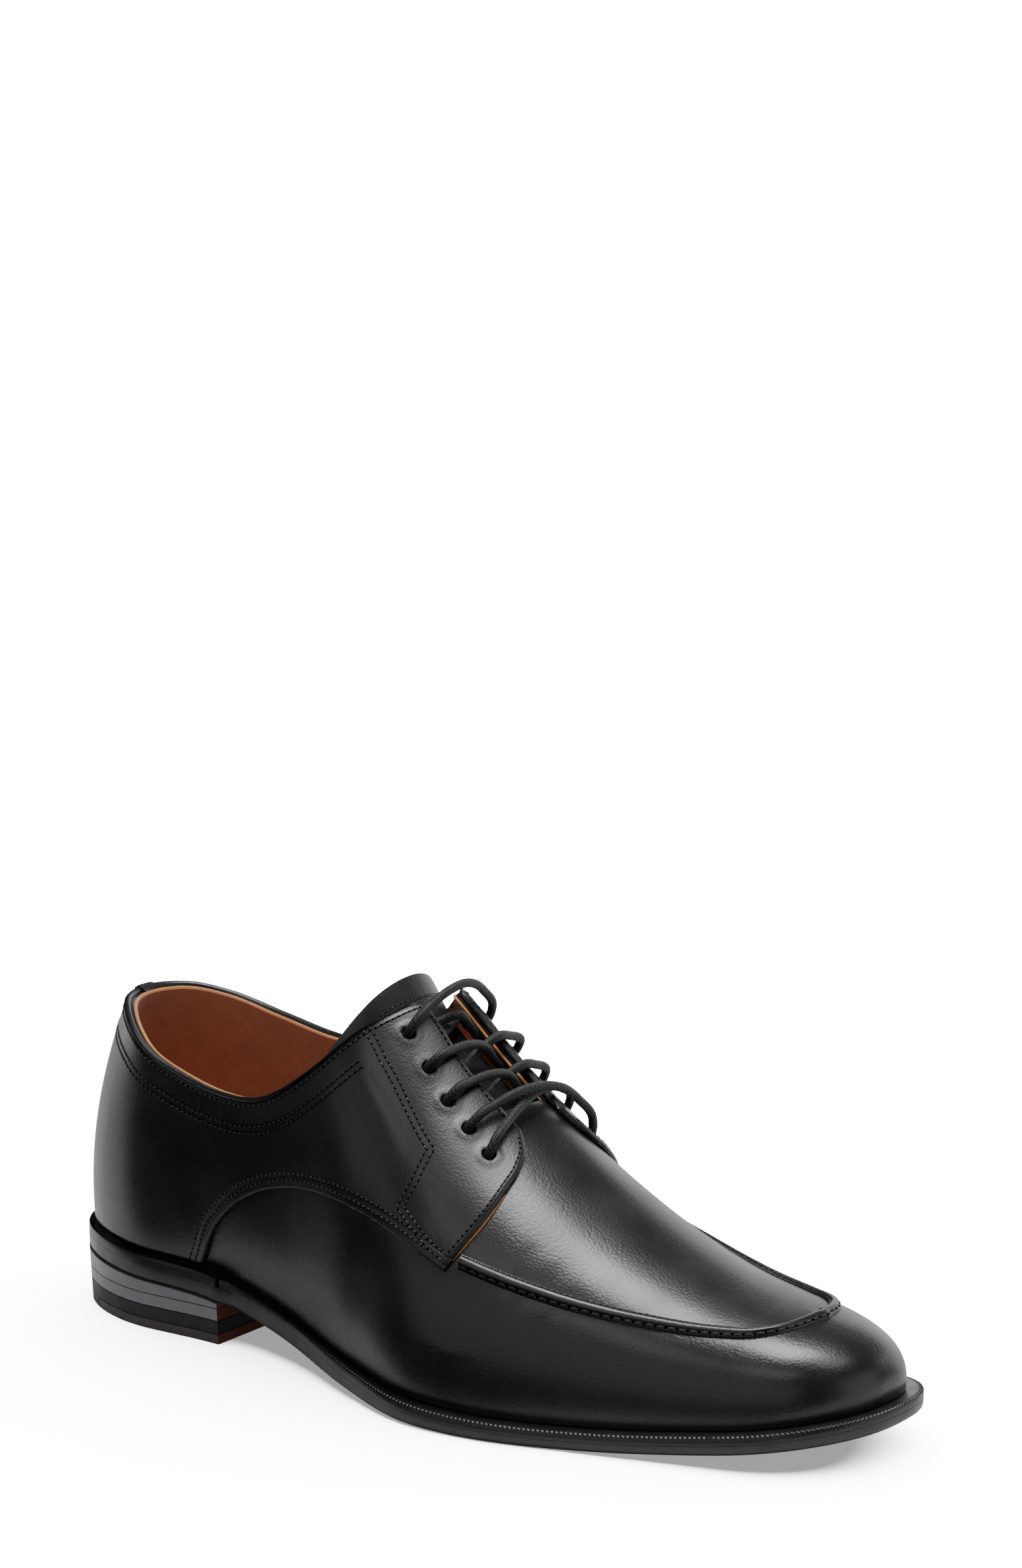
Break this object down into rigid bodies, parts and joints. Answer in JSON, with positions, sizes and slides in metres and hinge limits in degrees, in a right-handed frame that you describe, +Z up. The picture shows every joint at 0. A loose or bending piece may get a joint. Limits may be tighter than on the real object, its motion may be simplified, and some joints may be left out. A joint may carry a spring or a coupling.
{
  "type": "apron toe derby shoe",
  "caption": "Low lace-up dress shoe with open quarters over a raised apron-seam vamp, welted leather sole and stacked heel with rubber corner.",
  "frame": {"origin": "middle of the shoe's length and width, on the floor it stands on", "axes": "+X towards the toe, +Y towards the inner (medial) side of this right shoe, +Z up"},
  "size_m": [0.308, 0.109, 0.1237],
  "materials": {
    "calf": "smooth black calf, lightly creased, polished",
    "sole_edge": "black inked and burnished edge",
    "heel_stack": "black stained stacked leather, satin",
    "heel_tip": "dark grey layer over the floor face",
    "heel_rubber": "matt black",
    "insole": "tan lining leather",
    "lace": "round waxed cotton"
  },
  "bodies": {
    "root": {"upper": "calf", "quarters": "calf", "back_strip": "calf", "apron_seam": "calf", "tongue": "calf", "lace": "lace", "insole": "insole", "outsole": "sole_edge", "welt": "sole_edge", "heel_seat_rand": "sole_edge", "heel_lift_upper": "heel_stack", "heel_lift_lower": "heel_stack", "heel_tip_leather": "heel_tip", "heel_rubber": "heel_rubber"}
  },
  "joints": []
}
